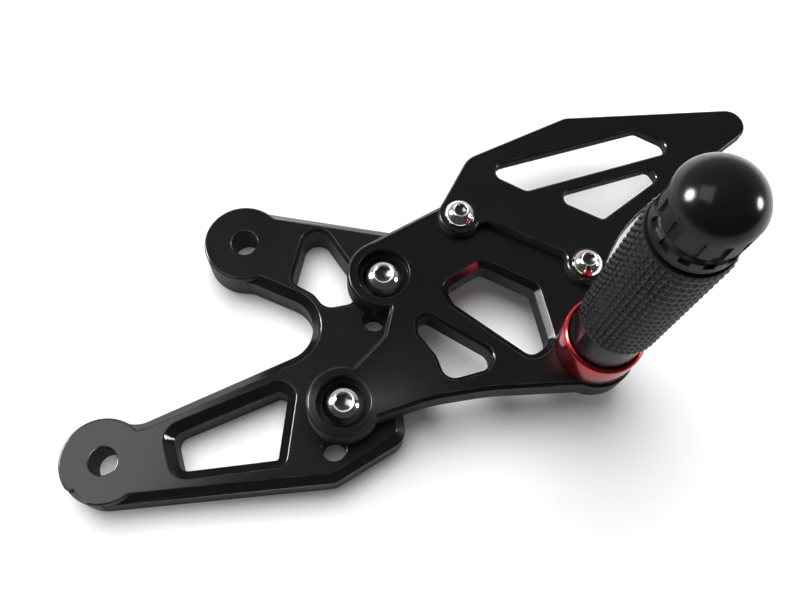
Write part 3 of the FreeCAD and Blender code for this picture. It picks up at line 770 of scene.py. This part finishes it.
def sector_ring(sector, count, finish):
    """Geometry nodes: the sector instanced round the peg's axis and welded into one skin."""
    tree = bpy.data.node_groups.new("cap sectors", "GeometryNodeTree")
    sockets = {}
    for label, kind in (("Sectors", "NodeSocketInt"), ("Sector", "NodeSocketObject"),
                        ("Finish", "NodeSocketMaterial")):
        sockets[label] = tree.interface.new_socket(label, in_out="INPUT", socket_type=kind).identifier
    tree.interface.new_socket("Geometry", in_out="OUTPUT", socket_type="NodeSocketGeometry")
    given = tree.nodes.new("NodeGroupInput").outputs
    made = tree.nodes.new("NodeGroupOutput")
    points = tree.nodes.new("GeometryNodePoints")
    points.inputs["Position"].default_value = (*peg_axis, 0)
    info = tree.nodes.new("GeometryNodeObjectInfo")
    step = math_node(tree, "DIVIDE", 2 * math.pi, given["Sectors"])
    angle = math_node(tree, "MULTIPLY", tree.nodes.new("GeometryNodeInputIndex").outputs[0], step)
    about = tree.nodes.new("ShaderNodeCombineXYZ")
    put = tree.nodes.new("GeometryNodeInstanceOnPoints")
    real = tree.nodes.new("GeometryNodeRealizeInstances")
    weld = tree.nodes.new("GeometryNodeMergeByDistance")
    weld.inputs["Distance"].default_value = 0.003 * mm
    paint = tree.nodes.new("GeometryNodeSetMaterial")
    tree.links.new(given["Sectors"], points.inputs["Count"])
    tree.links.new(given["Sector"], info.inputs["Object"])
    tree.links.new(angle, about.inputs["Z"])
    tree.links.new(points.outputs[0], put.inputs["Points"])
    tree.links.new(info.outputs["Geometry"], put.inputs["Instance"])
    tree.links.new(about.outputs[0], put.inputs["Rotation"])
    tree.links.new(put.outputs["Instances"], real.inputs["Geometry"])
    tree.links.new(real.outputs["Geometry"], weld.inputs["Geometry"])
    tree.links.new(weld.outputs["Geometry"], paint.inputs["Geometry"])
    tree.links.new(given["Finish"], paint.inputs["Material"])
    tree.links.new(paint.outputs["Geometry"], made.inputs["Geometry"])
    whole = bpy.data.objects.new("whole cap", bpy.data.meshes.new("whole cap"))
    ring = whole.modifiers.new("sectors", "NODES")
    ring.node_group = tree
    ring[sockets["Sectors"]] = count
    ring[sockets["Sector"]] = sector
    ring[sockets["Finish"]] = finish
    bpy.context.scene.collection.objects.link(whole)
    mesh = bpy.data.meshes.new_from_object(whole.evaluated_get(bpy.context.evaluated_depsgraph_get()))
    bpy.data.objects.remove(whole)
    bpy.data.objects.remove(sector)
    return mesh


cap_finish, cap_tree, cap_shader, cap_place = black_anodised(
    "cap_black_anodised", (0.0064, 0.0066, 0.0071), (0.0085, 0.0088, 0.0094), smooth=0.15, rough=0.19,
    tooth_mm=8.0, tooth_depth=0.15, rub=0.0, shine=0.16)[:4]
# The skirt was left as milled, duller than the dome.
cap_height = cap_tree.nodes.new("ShaderNodeSeparateXYZ")
cap_tree.links.new(cap_place, cap_height.inputs[0])
on_skirt = math_node(cap_tree, "LESS_THAN", cap_height.outputs["Z"], skirt_top * mm)
dome_rough = cap_shader.inputs["Roughness"].links[0].from_socket
skirt_rough = math_node(cap_tree, "MULTIPLY", on_skirt, 0.32)
cap_tree.links.new(math_node(cap_tree, "ADD", dome_rough, skirt_rough), cap_shader.inputs["Roughness"])
cap_skin = sector_ring(cap_sector(), cap_notches, cap_finish)
cap_shape = bmesh.new()
cap_shape.from_mesh(cap_skin)
bore = []
for height in (cap_low, cap_bore_top):
    bore.append(ring_points(cap_shape, peg_axis, height * mm, lambda turn: cap_bore_r * mm, 48))
bore.append([cap_shape.verts.new((*peg_axis, cap_bore_top * mm))])
skin(cap_shape, bore)
cap = add_piece("peg_end_cap", solid_piece("peg_end_cap", cap_shape, 20), cap_finish)
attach(cap, "root")
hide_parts("end_cap")


# Hidden fasteners: a zinc plated socket bolt and washer clamp the peg from behind the hanger,
# and a headless stud joins the cap to the barrel. Only the bolt head and washer can be seen.
plated, plated_tree, plated_shader, plated_place = new_finish("zinc_plated_steel")
plated_cloud = place_group(plated_tree, blasted, plated_place, Grains_per_mm=4.0)
zinc = ramp(plated_tree, plated_cloud.outputs["Cloud"], (0.36, 0.37, 0.38), (0.48, 0.49, 0.50), 0.3, 0.7)
plated_tree.links.new(zinc, plated_shader.inputs["Base Color"])
zinc_rough = value_between(plated_tree, plated_cloud.outputs["Cloud"], 0.28, 0.40)
plated_tree.links.new(zinc_rough, plated_shader.inputs["Roughness"])
zinc_bump = bump(plated_tree, plated_cloud.outputs["Height"], 0.015 * mm, 0.4)
plated_tree.links.new(zinc_bump, plated_shader.inputs["Normal"])
plated_shader.inputs["Metallic"].default_value = 1.0
for node, name, edge in (("peg_bolt", "peg_socket_bolt", 0.25), ("peg_washer", "peg_bolt_washer", 0.15)):
    fastener = broken_edges(node, name, edge * mm)
    fastener.data.materials.append(plated)
    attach(fastener, "root")
    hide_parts(node)
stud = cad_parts["cap_stud"]
if stud.material_slots:
    for held in stud.material_slots:
        held.material = plated
else:
    stud.data.materials.append(plated)


# Studio: a white table under a wide main lamp, which makes the soft shadows; away from the object the table
# also glows, a painted light that whitens those shadows. Two low lamps and a high panel only show as sheen:
# spots on the dome and the screws, and the grey of the lower boss. The room is pale along the table, dark
# overhead and dark on the near side.
def soft_lamp(name, place, target, size, power, deep=None):
    """An area lamp that faces its target: a disk, or an oblong where deep is given."""
    lamp = bpy.data.lights.new(name, "AREA")
    lamp.shape = "RECTANGLE" if deep else "DISK"
    lamp.size = size
    if deep:
        lamp.size_y = deep
    lamp.energy = power
    holder = bpy.data.objects.new(name, lamp)
    holder.location = place
    holder.rotation_mode = "QUATERNION"
    holder.rotation_quaternion = (Vector(target) - Vector(place)).to_track_quat("-Z", "Y")
    bpy.context.scene.collection.objects.link(holder)
    return holder


dome_top = Vector((*peg_axis, 0.13))
plates = Vector((0.06, 0.05, 0.02))
left_place = dome_top + 0.75 * Vector((-0.914, -0.22, 0.32))
right_place = dome_top + 0.75 * Vector((0.871, 0.427, 0.244))
panel_place = Vector((-0.565, -0.17, 1.0))
panel_foot = Vector((-0.565, -0.17, 0.0))
left_lamp = soft_lamp("left lamp", left_place, plates, size=0.28, power=17.0)
right_lamp = soft_lamp("right lamp", right_place, plates, size=0.20, power=5.2)
high_panel = soft_lamp("high panel", panel_place, panel_foot, size=0.70, power=5.4, deep=0.62)
for sheen_only in (left_lamp, right_lamp, high_panel):
    sheen_only.visible_diffuse = False
table_middle = Vector((0.05, 0.03, 0.0))
main_place = table_middle + 0.95 * Vector((-0.32, 0.27, 0.908))
main_lamp = soft_lamp("main lamp", main_place, table_middle, size=0.95, power=13.5)
main_lamp.visible_glossy = False

table_mesh = bpy.data.meshes.new("table")
table_mesh.from_pydata([(-3, -3, 0), (3, -3, 0), (3, 3, 0), (-3, 3, 0)], [], [(0, 1, 2, 3)])
table = bpy.data.objects.new("table", table_mesh)
bpy.context.scene.collection.objects.link(table)
cloth = bpy.data.materials.new("white_table")
cloth.use_nodes = True
cloth_tree = cloth.node_tree
cloth_tree.nodes.remove(cloth_tree.nodes["Principled BSDF"])
matt = cloth_tree.nodes.new("ShaderNodeBsdfDiffuse")
matt.inputs["Color"].default_value = (0.92, 0.92, 0.92, 1)
# Away from the object the table glows for camera, glossy and transmission rays, more the further out: a
# painted light that whitens the shadows there, for what the camera and polished metal see.
lift = cloth_tree.nodes.new("ShaderNodeEmission")
path = cloth_tree.nodes.new("ShaderNodeLightPath")
seen = math_node(cloth_tree, "MAXIMUM", path.outputs["Is Camera Ray"], path.outputs["Is Glossy Ray"])
seen = math_node(cloth_tree, "MAXIMUM", seen, path.outputs["Is Transmission Ray"])
afar = cloth_tree.nodes.new("ShaderNodeVectorMath")
afar.operation = "DISTANCE"
cloth_tree.links.new(cloth_tree.nodes.new("ShaderNodeTexCoord").outputs["Object"], afar.inputs[0])
afar.inputs[1].default_value = (0.06, 0.05, 0)
spread = cloth_tree.nodes.new("ShaderNodeMapRange")
spread.inputs["From Min"].default_value = 0.06
spread.inputs["From Max"].default_value = 0.40
spread.inputs["To Min"].default_value = 0.03
spread.inputs["To Max"].default_value = 0.95
cloth_tree.links.new(afar.outputs["Value"], spread.inputs["Value"])
painted_glow_strength = math_node(cloth_tree, "MULTIPLY", seen, spread.outputs["Result"])
cloth_tree.links.new(painted_glow_strength, lift.inputs["Strength"])
both = cloth_tree.nodes.new("ShaderNodeAddShader")
cloth_tree.links.new(matt.outputs[0], both.inputs[0])
cloth_tree.links.new(lift.outputs[0], both.inputs[1])
cloth_tree.links.new(both.outputs[0], cloth_tree.nodes["Material Output"].inputs["Surface"])
table_mesh.materials.append(cloth)

room = bpy.data.worlds.new("studio")
bpy.context.scene.world = room
room.use_nodes = True
room_tree = room.node_tree
sky = room_tree.nodes["Background"]
upward = room_tree.nodes.new("ShaderNodeSeparateXYZ")
outlook = room_tree.nodes.new("ShaderNodeTexCoord").outputs["Generated"]
room_tree.links.new(outlook, upward.inputs[0])
around = ramp(room_tree, upward.outputs["Z"], (0.75, 0.75, 0.76), (0.10, 0.10, 0.104), 0.05, 0.80)
near_side = room_tree.nodes.new("ShaderNodeVectorMath")
near_side.operation = "DOT_PRODUCT"
near_side.inputs[1].default_value = (0.47, -0.88, 0.0)
room_tree.links.new(outlook, near_side.inputs[0])
shade = room_tree.nodes.new("ShaderNodeMapRange")
shade.inputs["From Min"].default_value = -0.75
shade.inputs["From Max"].default_value = 0.45
room_tree.links.new(near_side.outputs["Value"], shade.inputs["Value"])
mirrored = mix_colour(room_tree, shade.outputs["Result"], around, (0.06, 0.06, 0.062))
ray = room_tree.nodes.new("ShaderNodeLightPath")
fill = (0.12, 0.12, 0.122)
lit = mix_colour(room_tree, ray.outputs["Is Glossy Ray"], fill, mirrored)
backdrop = mix_colour(room_tree, ray.outputs["Is Camera Ray"], lit, (1.0, 1.0, 1.0))
room_tree.links.new(backdrop, sky.inputs["Color"])

# Camera: above the near right side, as the photograph was taken.
eye = bpy.data.cameras.new("camera")
eye.lens = 38.2288
eye.sensor_width = 36.0
camera = bpy.data.objects.new("camera", eye)
camera.matrix_world = Matrix((
    (0.8883, -0.44285, 0.1217, 0.094322),
    (0.45643, 0.82183, -0.34098, -0.050368),
    (0.05099, 0.35844, 0.93216, 0.289161),
    (0, 0, 0, 1)))
eye.clip_start = 0.01
bpy.context.scene.collection.objects.link(camera)
bpy.context.scene.camera = camera
bpy.context.scene.view_settings.view_transform = "Standard"
